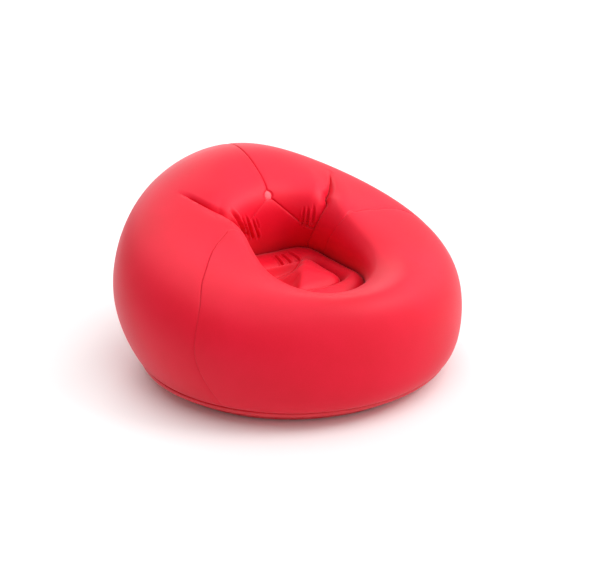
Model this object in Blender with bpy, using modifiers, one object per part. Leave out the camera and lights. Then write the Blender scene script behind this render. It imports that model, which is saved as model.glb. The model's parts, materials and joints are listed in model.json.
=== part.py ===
"""Inflatable armchair, one air chamber of flocked vinyl with a seat well.

Metres, +Z up. The sitter faces -Y, and +X is on the right of a viewer who
looks along +Y. The origin is on the floor under the middle of the chair.

The skin is a loft through closed rings, stacked from the base weld, out over
the bulge, up over the crest and down into the seat well. A point on it is
given by an angle from the back (+Y towards +X) and by a ring parameter.
"""

import math

import bmesh
import bpy
import numpy as np
from mathutils import Matrix, Vector

# ---------------------------------------------------------------- dimensions
SKIN = 0.0020            # modelled skin thickness (the real vinyl is 0.4 mm)
WEB = 0.0016             # inner webs
GAP = 0.0006             # half of the clearance along each weld
WELD_CLEAR = 0.0022      # clearance between base flange and side panels

# name, half width, half depth, centre y, egg, z back, z side, z front,
# squareness at the back and at the front (2 is an ellipse)
BODY_RINGS = (
    ("base_weld", 0.481, 0.457, -0.032, -0.003, 0.034, 0.034, 0.034, 2.0, 2.0),
    ("low", 0.513, 0.491, -0.029, -0.002, 0.086, 0.086, 0.073, 2.0, 2.0),
    ("bulge", 0.5495, 0.510, -0.001, -0.002, 0.294, 0.241, 0.165, 2.0, 2.0),
    ("upper", 0.470, 0.501, -0.0075, 0.011, 0.530, 0.389, 0.263, 2.0, 2.0),
    ("crest", 0.320, 0.3905, -0.0325, -0.001, 0.600, 0.420, 0.335, 2.0, 2.0),
    ("lip", 0.218, 0.267, -0.064, 0.000, 0.547, 0.415, 0.312, 2.3, 2.2),
    ("pull", 0.188, 0.2195, -0.086, 0.000, 0.481, 0.384, 0.302, 2.5, 2.3),
    ("wall", 0.168, 0.216, -0.076, 0.000, 0.375, 0.334, 0.283, 2.8, 2.4),
    ("foot", 0.193, 0.221, -0.004, 0.000, 0.236, 0.236, 0.236, 3.4, 3.4),
)
# what the tables below count the rings as; "pull" is the one that the button is on
RING_NO = (0.0, 1.0, 2.0, 3.0, 4.0, 5.0, 5.46, 6.0, 7.0)
# half width, half depth, centre y, z, squareness
BOLSTER_RINGS = (
    (0.1912, 0.2192, -0.004, 0.236, 3.4),
    (0.178, 0.203, -0.005, 0.254, 3.5),
    (0.156, 0.172, -0.011, 0.270, 3.5),
    (0.136, 0.132, -0.029, 0.261, 3.6),
    (0.126, 0.117, -0.036, 0.237, 3.8),
)
PILLOW_RINGS = (
    (0.1235, 0.1145, -0.036, 0.237, 3.8),
    (0.111, 0.102, -0.036, 0.259, 3.6),
    (0.070, 0.066, -0.036, 0.276, 3.0),
    (0.030, 0.029, -0.036, 0.280, 2.4),
)
PILLOW_TOP = (0.0, -0.036, 0.281)
# half width, half depth, z; centre and egg are those of the base weld
BASE_RINGS = (
    (0.205, 0.190, 0.000),
    (0.428, 0.403, 0.000),
    (0.457, 0.433, 0.006),
    (0.471, 0.447, 0.019),
    (0.4795, 0.4555, 0.0312),
    (0.4875, 0.4635, 0.0332),
)

# dart between backrest and arm, by ring number
DART_START = 3.85
DART_AT = (3.85, 4.1, 4.4, 4.65, 4.9, 5.2, 5.5, 5.75, 6.2, 7.0)
DART_ANGLE = (55.3, 57.4, 59.6, 60.3, 59.0, 55.3, 51.2, 49.3, 47.4, 45.0)
DART_DEPTH_AT = (3.85, 4.2, 4.6, 5.0, 5.3, 5.7, 6.2, 7.0)
DART_DEPTH = (0.0, 0.003, 0.014, 0.027, 0.027, 0.014, 0.005, 0.0)
DART_IN, DART_OUT = 0.110, 0.085
# the sharp nip along the dart's own line
NIP_AT = (3.85, 4.05, 4.4, 5.2, 5.9, 6.4, 7.0)
NIP = (0.0, 0.006, 0.012, 0.014, 0.010, 0.004, 0.0)
NIP_WIDE = 0.022
# the arm swells beside the dart, by ring number
ARM_AT = (4.8, 5.1, 5.4, 5.8, 6.3, 7.0)
ARM_SWELL = (0.0, 0.003, 0.014, 0.022, 0.014, 0.0)
ARM_SWELL_AT = 0.075

# arm seams, degrees from the back, by ring number
SEAM_AT = (0.0, 1.0, 2.0, 3.09, 3.45, 3.73, 4.04, 4.42, 4.84, 5.18, 6.0, 7.0)
SEAM_LEFT = (128.0, 127.0, 124.0, 117.0, 110.8, 105.7, 98.8, 91.2, 83.0, 75.2, 66.0, 62.0)
SEAM_RIGHT = (118.0, 115.5, 107.0, 94.0, 90.2, 88.8, 87.4, 85.6, 82.8, 77.3, 67.0, 62.0)

# seams of the backrest: an inverted V from the button to the darts
BUTTON_RING = 5.46
V_FOOT_RING = 6.09

TUFT_DEPTH, TUFT_REACH = 0.007, 0.035
BUTTON_R, BUTTON_T = 0.0150, 0.0030
TIE_W, TIE_T, TIE_REAR_RING = 0.040, 0.0016, 2.486
PATCH_R, PATCH_T, FRONT_PATCH_IN, REAR_PATCH_IN = 0.023, 0.0015, 0.0085, 0.0050

# valve, on the lower left of the rear
VALVE_ANGLE, VALVE_RING = -28.0, 1.50
VALVE_FLAT = 0.040
FLANGE_R, FLANGE_T = 0.0320, 0.0016
SOCKET_R, SOCKET_BORE, SOCKET_DEEP = 0.0195, 0.0172, 0.0150
PLUG_R, PLUG_DEEP, PLUG_HEAD_R, PLUG_HEAD_T = 0.0162, 0.0125, 0.0235, 0.0036
INFLATE_BORE = 0.0070
SEAL_IN, SEAL_OUT, SEAL_T = 0.0168, 0.0212, 0.0012
TETHER_T = 0.0010
CAP_R, CAP_T, STEM_R, STEM_DEEP = 0.0105, 0.0022, 0.0054, 0.0050
COLLAR_OUT, COLLAR_T = 0.0125, 0.0012
HINGE_X = 0.0142
FLAP_R, FLAP_T = 0.0088, 0.0010

TURN = 28                # segments of a turned part

# ---------------------------------------------------------------- clean start
for old in list(bpy.data.objects):
    bpy.data.objects.remove(old)

parts = bpy.data.collections.new("inflatable_armchair")
cutters = bpy.data.collections.new("cutters")
bpy.context.scene.collection.children.link(parts)
bpy.context.scene.collection.children.link(cutters)


# ---------------------------------------------------------------- the surface
def squareness(phi, n):
    return (np.abs(np.sin(phi)) ** n + np.abs(np.cos(phi)) ** n) ** (-1.0 / n)


def body_ring(ring, phi):
    _, a, b, c, egg, zb, zs, zf, nb, nf = ring
    r = squareness(phi, nf + (nb - nf) * (0.5 + 0.5 * np.cos(phi)))
    second = (zb + zf - 2 * zs) / 4
    return np.stack(
        [
            a * np.sin(phi) * r,
            c + b * np.cos(phi) * r + egg * (np.cos(2 * phi) + 1),
            zs + second + (zb - zf) / 2 * np.cos(phi) + second * np.cos(2 * phi),
        ],
        -1,
    )


def flat_ring(ring, phi):
    a, b, c, z, n = ring
    r = squareness(phi, n)
    return np.stack([a * np.sin(phi) * r, c + b * np.cos(phi) * r, z + 0 * phi], -1)


def knots_of(rings, shape):
    """Spacing of the rings: the square root of their mean distance."""
    phi = np.linspace(-math.pi, math.pi, 96, endpoint=False)
    stack = np.stack([shape(r, phi) for r in rings])
    step = np.linalg.norm(np.diff(stack, axis=0), axis=-1).mean(1)
    return np.r_[0, np.cumsum(np.sqrt(step))]


def spline(values, knots, t):
    """Natural cubic through values (rings, points, ...) at each point's own t."""
    k, n = values.shape[:2]
    h = np.diff(knots)
    system, right = np.zeros((k, k)), np.zeros(values.shape)
    system[0, 0] = system[-1, -1] = 1
    for i in range(1, k - 1):
        system[i, i - 1 : i + 2] = h[i - 1], 2 * (h[i - 1] + h[i]), h[i]
        right[i] = 6 * (
            (values[i + 1] - values[i]) / h[i] - (values[i] - values[i - 1]) / h[i - 1]
        )
    bend = np.linalg.solve(system, right.reshape(k, -1)).reshape(values.shape)
    i = np.clip(np.searchsorted(knots, t, side="right") - 1, 0, k - 2)
    j = np.arange(n)
    shape = (n,) + (1,) * (values.ndim - 2)
    b = ((t - knots[i]) / h[i]).reshape(shape)
    a = 1 - b
    return (
        a * values[i, j]
        + b * values[i + 1, j]
        + ((a**3 - a) * bend[i, j] + (b**3 - b) * bend[i + 1, j])
        * (h[i] ** 2).reshape(shape)
        / 6
    )


def curve(at, values, x):
    """Smooth curve through a short table, level beyond its ends."""
    at = np.array(at, float)
    x = np.clip(np.asarray(x, float), at[0], at[-1])
    table = np.repeat(np.array(values, float)[:, None], x.size, 1)
    return spline(table, at, x.ravel()).reshape(x.shape)


T_RING = knots_of(BODY_RINGS, body_ring)
T_END = T_RING[-1]


def t_of(ring_number):
    return np.interp(ring_number, RING_NO, T_RING)


def ring_of(t):
    return np.interp(t, T_RING, RING_NO)


def plain(phi, t):
    return spline(np.stack([body_ring(r, phi) for r in BODY_RINGS]), T_RING, t)


def frame_at(phi, t, e=1e-3):
    """Outward normal, and how long a unit step in phi is."""
    along = plain(phi, np.minimum(t + e, T_END)) - plain(phi, np.maximum(t - e, 0))
    round_ = (plain(phi + e, t) - plain(phi - e, t)) / (2 * e)
    n = np.cross(along, round_)
    return n / np.linalg.norm(n, axis=-1, keepdims=True), np.linalg.norm(round_, axis=-1)


def plain_normal(phi, t):
    return frame_at(phi, t)[0]


def turn_of(phi):
    """The angle between -180 and 180 degrees."""
    return (phi + math.pi) % (2 * math.pi) - math.pi


def dart_angle(t):
    return np.radians(curve(DART_AT, DART_ANGLE, ring_of(t)))


def seam_angle(side, t):
    table = SEAM_LEFT if side < 0 else SEAM_RIGHT
    return np.radians(curve(SEAM_AT, table, ring_of(t)))


def creased(phi, t):
    """The skin with the two darts folded in and the arms swelling beside them."""
    v = ring_of(t)
    normal, rr = frame_at(phi, t)
    depth = np.clip(curve(DART_DEPTH_AT, DART_DEPTH, v), 0, 1)
    u = (np.abs(turn_of(phi)) - dart_angle(t)) * rr
    fold = np.where(
        u < 0, np.clip(1 + u / DART_IN, 0, 1) ** 2.0, np.clip(1 - u / DART_OUT, 0, 1) ** 2.2
    )
    nip = np.clip(curve(NIP_AT, NIP, v), 0, 1) * np.clip(1 - np.abs(u) / NIP_WIDE, 0, 1) ** 2.0
    swell = np.clip(curve(ARM_AT, ARM_SWELL, v), 0, 1)
    k = np.clip(u, 0, None) / ARM_SWELL_AT
    return plain(phi, t) + normal * (swell * k * np.exp(1 - k) - depth * fold - nip)[:, None]


BUTTON = creased(np.array([0.0]), np.array([t_of(BUTTON_RING)]))[0]
BUTTON_OUT = plain_normal(np.array([0.0]), np.array([t_of(BUTTON_RING)]))[0]
VALVE_PHI, VALVE_T = math.radians(VALVE_ANGLE), float(t_of(VALVE_RING))
VALVE = plain(np.array([VALVE_PHI]), np.array([VALVE_T]))[0]
VALVE_OUT = plain_normal(np.array([VALVE_PHI]), np.array([VALVE_T]))[0]


def skin(phi, t):
    """The finished skin: darts, the tuft at the button, the flat at the valve."""
    phi, t = np.broadcast_arrays(np.asarray(phi, float), np.asarray(t, float))
    shape = phi.shape
    phi, t = phi.ravel(), t.ravel()
    p = creased(phi, t)
    far = np.linalg.norm(p - BUTTON, axis=-1)
    inner = ring_of(t) > 4.0
    p = p - BUTTON_OUT * (inner * TUFT_DEPTH * np.exp(-far / TUFT_REACH))[:, None]
    rel = p - VALVE
    far = np.linalg.norm(rel, axis=-1)
    k = np.clip((far - VALVE_FLAT) / 0.022, 0, 1)
    flat = 1 - k * k * (3 - 2 * k)
    p = p - VALVE_OUT * ((rel @ VALVE_OUT) * flat)[:, None]
    return p.reshape(shape + (3,))


# ---------------------------------------------------------------- helpers
def material(name, colour, rough, metal=0.0):
    m = bpy.data.materials.new(name)
    m.use_nodes = True
    node = m.node_tree.nodes["Principled BSDF"]
    node.inputs["Base Color"].default_value = (*colour, 1)
    node.inputs["Roughness"].default_value = rough
    node.inputs["Metallic"].default_value = metal
    return m


FLOCK = (0.66, 0.020, 0.055)
VINYL = (0.50, 0.016, 0.040)
CLEAR = (0.80, 0.80, 0.78)


def add(name, mesh, colour, rough, parent=None):
    obj = bpy.data.objects.new(name, mesh)
    obj.data.materials.append(material(name, colour, rough))
    parts.objects.link(obj)
    obj.parent = parent
    return obj


def loft(name, grids, closed=False, start=None, end=None, holes=None):
    """A mesh of lofted rows. Each grid is (rows, columns, 3); its faces look along
    row direction x column direction. Equal points of different grids are one."""
    mesh = bpy.data.meshes.new(name)
    bm = bmesh.new()
    for grid in grids:
        rows, cols = grid.shape[:2]
        verts = [[bm.verts.new(grid[i, j]) for j in range(cols)] for i in range(rows)]
        last = cols if closed else cols - 1
        for i in range(rows - 1):
            for j in range(last):
                if holes and holes(i, j):
                    continue
                k = (j + 1) % cols
                bm.faces.new((verts[i][j], verts[i + 1][j], verts[i + 1][k], verts[i][k]))
        for row, tip, turn in ((verts[0], start, True), (verts[-1], end, False)):
            if tip is None:
                continue
            centre = bm.verts.new(tip)
            for j in range(last):
                a, b = row[j], row[(j + 1) % cols]
                bm.faces.new((centre, a, b) if turn else (centre, b, a))
    bmesh.ops.remove_doubles(bm, verts=bm.verts, dist=2e-6)
    for face in bm.faces:
        face.smooth = True
    bm.to_mesh(mesh)
    bm.free()
    return mesh


def solidify(obj, thickness, offset=-1.0):
    mod = obj.modifiers.new("skin", "SOLIDIFY")
    mod.thickness, mod.offset = thickness, offset
    mod.use_even_offset = False
    return obj


def cut(obj, cutter):
    mod = obj.modifiers.new("cut_" + cutter.name, "BOOLEAN")
    mod.operation, mod.object, mod.solver = "DIFFERENCE", cutter, "EXACT"


def place(obj, origin, out):
    """Local +Z along out, local +X as level as it can be."""
    z = Vector(out).normalized()
    x = Vector((0, 0, 1)).cross(z)
    x = x.normalized() if x.length > 1e-6 else Vector((1, 0, 0))
    y = z.cross(x)
    obj.matrix_world = Matrix.Translation(Vector(origin)) @ Matrix((x, y, z)).transposed().to_4x4()


def empty(name, parent=None):
    e = bpy.data.objects.new(name, None)
    e.empty_display_size = 0.02
    parts.objects.link(e)
    e.parent = parent
    return e


def cutter_cylinder(name, radius, length, origin, out):
    bm = bmesh.new()
    bmesh.ops.create_cone(
        bm, cap_ends=True, segments=TURN, radius1=radius, radius2=radius, depth=length
    )
    mesh = bpy.data.meshes.new(name)
    bm.to_mesh(mesh)
    bm.free()
    obj = bpy.data.objects.new(name, mesh)
    cutters.objects.link(obj)
    obj.hide_render = True
    obj.display_type = "WIRE"
    place(obj, origin, out)
    return obj


def turned(name, profile, colour, rough, parent, closed=True, steps=TURN):
    """A profile of (radius, z), outer side from top to bottom, turned about Z."""
    mesh = bpy.data.meshes.new(name)
    edges = [(i, i + 1) for i in range(len(profile) - 1)]
    if closed:
        edges.append((len(profile) - 1, 0))
    mesh.from_pydata([(r, 0, z) for r, z in profile], edges, [])
    obj = add(name, mesh, colour, rough, parent)
    mod = obj.modifiers.new("turn", "SCREW")
    mod.steps = mod.render_steps = steps
    mod.use_merge_vertices, mod.merge_threshold = True, 1e-5
    mod.use_smooth_shade = True
    return obj


def extruded(name, outline, thickness, colour, rough, parent=None):
    """A flat outline in local XY, centred on local Z."""
    data = bpy.data.curves.new(name, "CURVE")
    data.dimensions, data.fill_mode = "2D", "BOTH"
    data.extrude = thickness / 2
    line = data.splines.new("POLY")
    line.points.add(len(outline) - 1)
    for point, (x, y) in zip(line.points, outline):
        point.co = (x, y, 0, 1)
    line.use_cyclic_u = True
    obj = bpy.data.objects.new(name, data)
    data.materials.append(material(name, colour, rough))
    parts.objects.link(obj)
    obj.parent = parent
    return obj


# ---------------------------------------------------------------- panel grids
def spaced(first, last, count, extra=()):
    """Even steps, with extra values put in where they don't crowd the others."""
    values = np.linspace(first, last, count + 1)
    if len(extra):
        lo, hi = min(extra), max(extra)
        space = abs(last - first) / count * 0.45
        keep = [v for v in values if v <= lo - space or v >= hi + space or v in (first, last)]
        values = np.array(sorted(set(keep) | set(extra)))
    return values


SPEED_T = 0.55           # metres of skin per unit of ring parameter, about
DART_T = float(t_of(DART_START))
BUTTON_T_AT = float(t_of(BUTTON_RING))
VFOOT_T = float(t_of(V_FOOT_RING))
G_T = GAP / SPEED_T
valve_rows = [VALVE_T + k * 0.0195 / 0.50 for k in (-2, -1, 0, 1, 2)]
valve_cols = [(VALVE_PHI + k * 0.0195 / 0.52) / -math.radians(DART_ANGLE[0]) for k in (2, 1, 0, -1, -2)]

ROWS_LOW = spaced(0.0, DART_T, 13, valve_rows)
ROWS_BACK = np.linspace(0, 1, 7)                 # dart start to the V
ROWS_LOWER = np.linspace(0, 1, 6)                # V to the foot
ROWS_HIGH = np.r_[DART_T + ROWS_BACK * (VFOOT_T - DART_T), VFOOT_T + ROWS_LOWER[1:] * (T_END - VFOOT_T)]
COLS_ARM = np.linspace(0, 1, 9)                  # dart to arm seam
COLS_LEFT = spaced(0.0, 1.0, 9, valve_cols)      # centre seam to dart
COLS_RIGHT = np.linspace(0, 1, 10)

radius_at = lambda phi, t: np.hypot(*(plain(np.ravel(phi), np.ravel(t)).T[:2] + [[0], [0.03]])).reshape(np.shape(phi))


def v_seam(f):
    """Ring parameter of the V seam at fraction f from the button to the dart."""
    return t_of(BUTTON_RING + (V_FOOT_RING - BUTTON_RING) * np.abs(f) ** 0.8)


def angle_gap(phi, t, gap=GAP):
    return gap / np.maximum(radius_at(phi, t), 0.12)


def weld_row(t):
    """Lifts the first row clear of the base flange."""
    t = np.array(t, float)
    t[0] = WELD_CLEAR / 0.42
    return t


def rear_panel(side, cols):
    low = weld_row(ROWS_LOW)
    f = cols[None, :]
    t = low[:, None] + 0 * f
    back_low = f * dart_angle(t)
    back_low[:, 0] += angle_gap(back_low[:, 0], t[:, 0])
    # above the start of the dart, the part behind it
    s = ROWS_BACK[:, None]
    end = v_seam(f) - G_T
    tb = DART_T + s * (end - DART_T)
    back_high = f * dart_angle(tb)
    back_high[:, 0] += angle_gap(back_high[:, 0], tb[:, 0])
    back_high[1:, -1] -= angle_gap(back_high[1:, -1], tb[1:, -1])
    # the arm, beside the dart
    high = ROWS_HIGH.copy()
    high[-1] -= G_T
    grids = []
    for rows, start in ((low, 0), (high, 1)):
        tt = rows[:, None] + 0 * COLS_ARM[None, :]
        first, last = dart_angle(tt), seam_angle(side, tt)
        last = last - angle_gap(last, tt)
        if start:
            first[1:] += angle_gap(first[1:], tt[1:])
        grids.append((first + (last - first) * COLS_ARM[None, :], tt))
    grids += [(back_low, t), (back_high, tb)]
    made = []
    for phi, tt in grids:
        p = skin(side * phi, tt)
        made.append(p if side > 0 else p[:, ::-1])
    # on the right the angle grows along the row, on the left it shrinks
    return made


def lower_back():
    f = np.r_[-COLS_LEFT[::-1], COLS_RIGHT[1:]][None, :]
    s = ROWS_LOWER[:, None]
    start = v_seam(f) + G_T
    t = start + s * (T_END - G_T - start)
    phi = f * dart_angle(t)
    phi[:, 0] += angle_gap(phi[:, 0], t[:, 0])
    phi[:, -1] -= angle_gap(phi[:, -1], t[:, -1])
    return [skin(phi, t)]


FRONT_COLS = np.linspace(0, 1, 19)


def front():
    made = []
    for rows in (weld_row(ROWS_LOW), ROWS_HIGH.copy()):
        if rows[-1] > T_END - 1e-9:
            rows[-1] -= G_T
        t = rows[:, None] + 0 * FRONT_COLS[None, :]
        first, last = seam_angle(1, t), 2 * math.pi - seam_angle(-1, t)
        first = first + angle_gap(first, t)
        last = last - angle_gap(last, t)
        made.append(skin(first + (last - first) * FRONT_COLS[None, :], t))
    return made


def foot_angles():
    """The panels' own columns where they meet the seat, so edges follow each other."""
    dart, left, right = (
        float(dart_angle(np.array([T_END]))[0]),
        float(seam_angle(-1, np.array([T_END]))[0]),
        float(seam_angle(1, np.array([T_END]))[0]),
    )
    return np.r_[
        -(dart * COLS_LEFT[::-1]),
        dart * COLS_RIGHT[1:],
        dart + (right - dart) * COLS_ARM[1:],
        right + (2 * math.pi - left - right) * FRONT_COLS[1:],
        2 * math.pi - (left + (dart - left) * COLS_ARM[1:-1]),
    ]


def seat_loft(rings, steps, phi):
    knots = knots_of(rings, flat_ring)
    values = np.stack([flat_ring(r, phi) for r in rings])
    return np.stack(
        [spline(values, knots, np.full(phi.shape, s * knots[-1])) for s in np.linspace(0, 1, steps + 1)]
    )


# ---------------------------------------------------------------- the skin
rear_left = solidify(add("rear_left_panel", loft("rear_left_panel", rear_panel(-1, COLS_LEFT)), FLOCK, 0.8), SKIN)
rear_right = solidify(add("rear_right_panel", loft("rear_right_panel", rear_panel(1, COLS_RIGHT)), FLOCK, 0.8), SKIN)
front_skin = solidify(add("front_panel", loft("front_panel", front()), FLOCK, 0.8), SKIN)
lower = solidify(add("lower_back_panel", loft("lower_back_panel", lower_back()), FLOCK, 0.8), SKIN)

PHI_FOOT = foot_angles()
bolster = seat_loft(BOLSTER_RINGS, 7, PHI_FOOT)
solidify(add("seat_ring_panel", loft("seat_ring_panel", [bolster], closed=True), FLOCK, 0.8), SKIN)
PHI_PILLOW = np.linspace(-math.pi, math.pi, 36, endpoint=False)
pillow = seat_loft(PILLOW_RINGS, 5, PHI_PILLOW)
solidify(
    add("seat_pillow_panel", loft("seat_pillow_panel", [pillow], closed=True, end=PILLOW_TOP), FLOCK, 0.8), SKIN
)
PHI_BASE = np.linspace(-math.pi, math.pi, 56, endpoint=False)
base = np.stack(
    [body_ring(("base", a, b, -0.032, -0.003, z, z, z, 2.0, 2.0), PHI_BASE) for a, b, z in BASE_RINGS]
)
solidify(
    add("base_panel", loft("base_panel", [base], closed=True, start=(0, -0.038, 0)), VINYL, 0.45), SKIN
)

# ---------------------------------------------------------------- inside webs
WEB_TOP = 0.2310


def web(name, a, b, c, n, spread, top=WEB_TOP):
    """A vented tube of vinyl from the base to a seam of the seat."""
    rows = [
        flat_ring((a + spread * k, b + spread * k, c, 0.0030 + (top - 0.0030) * (1 - k), n), PHI_WEB)
        for k in (1.0, 0.70, 0.36, 0.0)
    ]
    mesh = loft(name, [np.stack(rows)], closed=True, holes=lambda i, j: i == 1 and j % 5 in (1, 2))
    return solidify(add(name, mesh, VINYL, 0.5), WEB)


PHI_WEB = np.linspace(-math.pi, math.pi, 40, endpoint=False)
web("seat_perimeter_web", 0.186, 0.214, -0.004, 3.4, 0.018)
web("seat_groove_web", 0.1245, 0.1155, -0.036, 3.8, 0.004)

# ---------------------------------------------------------------- button and tie
tuft = skin(np.array([0.0]), np.array([BUTTON_T_AT]))[0]
REAR_T = np.array([float(t_of(TIE_REAR_RING))])
rear_point = skin(np.array([0.0]), REAR_T)[0]
rear_out = plain_normal(np.array([0.0]), REAR_T)[0]
TIE_LENGTH = float((tuft - rear_point) @ BUTTON_OUT)

button_frame = empty("button_axis")
place(button_frame, tuft, BUTTON_OUT)
button_hole = cutter_cylinder("button_hole", BUTTON_R + 0.0008, 0.050, tuft, BUTTON_OUT)
for panel in (rear_left, rear_right, lower):
    cut(panel, button_hole)
turned(
    "button_disc",
    [(0.0, 0.0016), (0.009, 0.0013), (0.0135, 0.0008), (BUTTON_R, -0.0002), (BUTTON_R, -0.0014), (0.0, -0.0014)],
    (0.85, 0.09, 0.12),
    0.5,
    button_frame,
    closed=False,
)


def patch(name, frame, z):
    turned(
        name,
        [(0.0, z), (PATCH_R, z), (PATCH_R, z - PATCH_T), (0.0, z - PATCH_T)],
        VINYL,
        0.5,
        frame,
        closed=False,
    )


patch("tie_front_patch", button_frame, -FRONT_PATCH_IN)
rear_frame = empty("tie_rear_axis")
place(rear_frame, rear_point, rear_out)
patch("tie_rear_patch", rear_frame, -REAR_PATCH_IN)
strap_from = -FRONT_PATCH_IN - PATCH_T - 0.0004
strap_to = -TIE_LENGTH + (REAR_PATCH_IN + PATCH_T) * 1.06 + 0.0010
waist = [
    (strap_from + (strap_to - strap_from) * k, TIE_W / 2 * (0.74 + 0.26 * abs(2 * k - 1) ** 2))
    for k in np.linspace(0, 1, 9)
]
tie_frame = empty("tie_axis", button_frame)
# the strap runs along the button's axis and lies level across the chair
tie_frame.matrix_basis = Matrix(((0, 1, 0, 0), (0, 0, 1, 0), (1, 0, 0, 0), (0, 0, 0, 1)))
extruded(
    "back_tie",
    [(x, w) for x, w in waist] + [(x, -w) for x, w in reversed(waist)],
    TIE_T,
    VINYL,
    0.5,
    tie_frame,
)

# ---------------------------------------------------------------- air valve
valve_frame = empty("valve_axis")
place(valve_frame, VALVE, VALVE_OUT)
valve_hole = cutter_cylinder("valve_hole", SOCKET_R + 0.0008, 0.040, VALVE, VALVE_OUT)
cut(rear_left, valve_hole)

patch_top = -SKIN - 0.0010
turned(
    "valve_patch",
    [(0.0290, patch_top), (0.0290, patch_top - 0.0012), (SOCKET_R + 0.0008, patch_top - 0.0012), (SOCKET_R + 0.0008, patch_top)],
    VINYL,
    0.5,
    valve_frame,
)
F0 = 0.0006                    # underside of the flange
F1 = F0 + FLANGE_T
turned(
    "valve_flange",
    [
        (SOCKET_BORE, F1 + 0.0008),
        (SOCKET_R + 0.0014, F1 + 0.0008),
        (SOCKET_R + 0.0026, F1),
        (FLANGE_R - 0.0010, F1 - 0.0004),
        (FLANGE_R, F0 + 0.0002),
        (FLANGE_R - 0.0006, F0),
        (SOCKET_R, F0),
        (SOCKET_R, -SOCKET_DEEP),
        (SOCKET_BORE, -SOCKET_DEEP),
    ],
    CLEAR,
    0.35,
    valve_frame,
)
S0 = F1 + 0.0008 + 0.0003      # rests on the socket's raised lip
turned(
    "plug_seal",
    [(SEAL_OUT - 0.0003, S0 + SEAL_T), (SEAL_OUT, S0 + SEAL_T - 0.0004), (SEAL_OUT, S0), (SEAL_IN, S0), (SEAL_IN, S0 + SEAL_T)],
    (0.06, 0.06, 0.065),
    0.6,
    valve_frame,
)
H0 = S0 + SEAL_T + 0.0003      # underside of the plug's head
H1 = H0 + PLUG_HEAD_T
thread = []
z = H0
while z > H0 - PLUG_DEEP + 0.0018:
    thread += [(PLUG_R - 0.0007, z - 0.0008), (PLUG_R, z - 0.0014), (PLUG_R, z - 0.0020), (PLUG_R - 0.0007, z - 0.0026)]
    z -= 0.0034
plug_profile = (
    [(INFLATE_BORE, H1), (PLUG_HEAD_R - 0.0012, H1), (PLUG_HEAD_R, H1 - 0.0010), (PLUG_HEAD_R, H0), (PLUG_R - 0.0007, H0)]
    + thread
    + [(PLUG_R - 0.0016, H0 - PLUG_DEEP), (INFLATE_BORE, H0 - PLUG_DEEP)]
)
turned("valve_plug", plug_profile, CLEAR, 0.35, valve_frame)
# collar on the plug's head, with the tab that the cap is hinged to
C0 = H1 + 0.0003


def circle(radius, count=TURN):
    return [(radius * math.cos(2 * math.pi * k / count), radius * math.sin(2 * math.pi * k / count)) for k in range(count)]


def ring_with_tab(name, outer, hole, half, reach, thickness, parent, z):
    """A flat ring round local Z whose outline runs out to a square tab on -X."""
    rim = [(x, y) for x, y in circle(outer) if not (x < 0 and abs(y) < half + 0.0004)]
    rim.sort(key=lambda p: (math.atan2(p[1], p[0]) + math.pi) % (2 * math.pi))
    outline = rim + [(-reach, half), (-reach, -half)]
    obj = extruded(name, outline, thickness, CLEAR, 0.35, parent)
    line = obj.data.splines.new("POLY")
    line.points.add(TURN - 1)
    for point, (x, y) in zip(line.points, circle(hole)):
        point.co = (x, y, 0, 1)
    line.use_cyclic_u = True
    obj.location = (0, 0, z + thickness / 2)
    return obj


ring_with_tab("cap_tether", COLLAR_OUT, INFLATE_BORE + 0.0002, 0.0032, HINGE_X - 0.0003, COLLAR_T, valve_frame, C0)
K0 = C0 + COLLAR_T + 0.0003    # underside of the cap
cap_frame = empty("cap_hinge", valve_frame)
cap_frame.location = (-HINGE_X, 0, K0)
turned(
    "cap_body_profile",
    [
        (0.0, CAP_T),
        (CAP_R - 0.0016, CAP_T),
        (CAP_R, CAP_T - 0.0008),
        (CAP_R, 0.0),
        (STEM_R, 0.0),
        (STEM_R, -STEM_DEEP + 0.0010),
        (STEM_R - 0.0010, -STEM_DEEP),
        (0.0, -STEM_DEEP),
    ],
    CLEAR,
    0.35,
    cap_frame,
    closed=False,
).location = (HINGE_X, 0, 0)
bpy.context.view_layer.update()


def as_mesh(obj, name):
    """The evaluated object as a plain mesh object in the same place."""
    graph = bpy.context.evaluated_depsgraph_get()
    mesh = bpy.data.meshes.new_from_object(obj.evaluated_get(graph))
    bm = bmesh.new()
    bm.from_mesh(mesh)
    bmesh.ops.remove_doubles(bm, verts=bm.verts, dist=1e-6)
    bm.to_mesh(mesh)
    bm.free()
    new = bpy.data.objects.new(name, mesh)
    new.matrix_world = obj.matrix_world.copy()
    return new


def tab_outline(length, width, tip):
    """A strap along +X that ends in a rounded tip."""
    points = [(0.0, width / 2), (0.0, -width / 2)]
    for k in np.linspace(-math.pi / 2, math.pi / 2, 7):
        points.append((length + tip * math.cos(k), width / 2 * math.sin(k)))
    return points


# the cap and its strap and finger lip are one moulding
strap = extruded("cap_strap_outline", tab_outline(HINGE_X - CAP_R + 0.0012, 0.0060, 0.0), 0.0012, CLEAR, 0.35, cap_frame)
strap.location = (0.0002, 0, 0.0010)
lip = extruded("cap_lip_outline", tab_outline(0.0046, 0.0080, 0.0026), 0.0014, CLEAR, 0.35, cap_frame)
lip.location = (HINGE_X + CAP_R - 0.0024, 0, 0.0010)
bpy.context.view_layer.update()
body_source = bpy.data.objects["cap_body_profile"]
cap = as_mesh(body_source, "inflation_cap")
cap_local = cap_frame.matrix_world.inverted() @ cap.matrix_world
parts.objects.link(cap)
for piece in (strap, lip):
    tool = as_mesh(piece, piece.name.replace("outline", "tool"))
    cutters.objects.link(tool)
    tool.hide_render = True
    tool.display_type = "WIRE"
    mod = cap.modifiers.new("join_" + tool.name, "BOOLEAN")
    mod.operation, mod.object, mod.solver = "UNION", tool, "EXACT"
for piece in (body_source, strap, lip):
    bpy.data.objects.remove(piece)
cap.data.materials.clear()
cap.data.materials.append(material("inflation_cap", CLEAR, 0.35))
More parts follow.
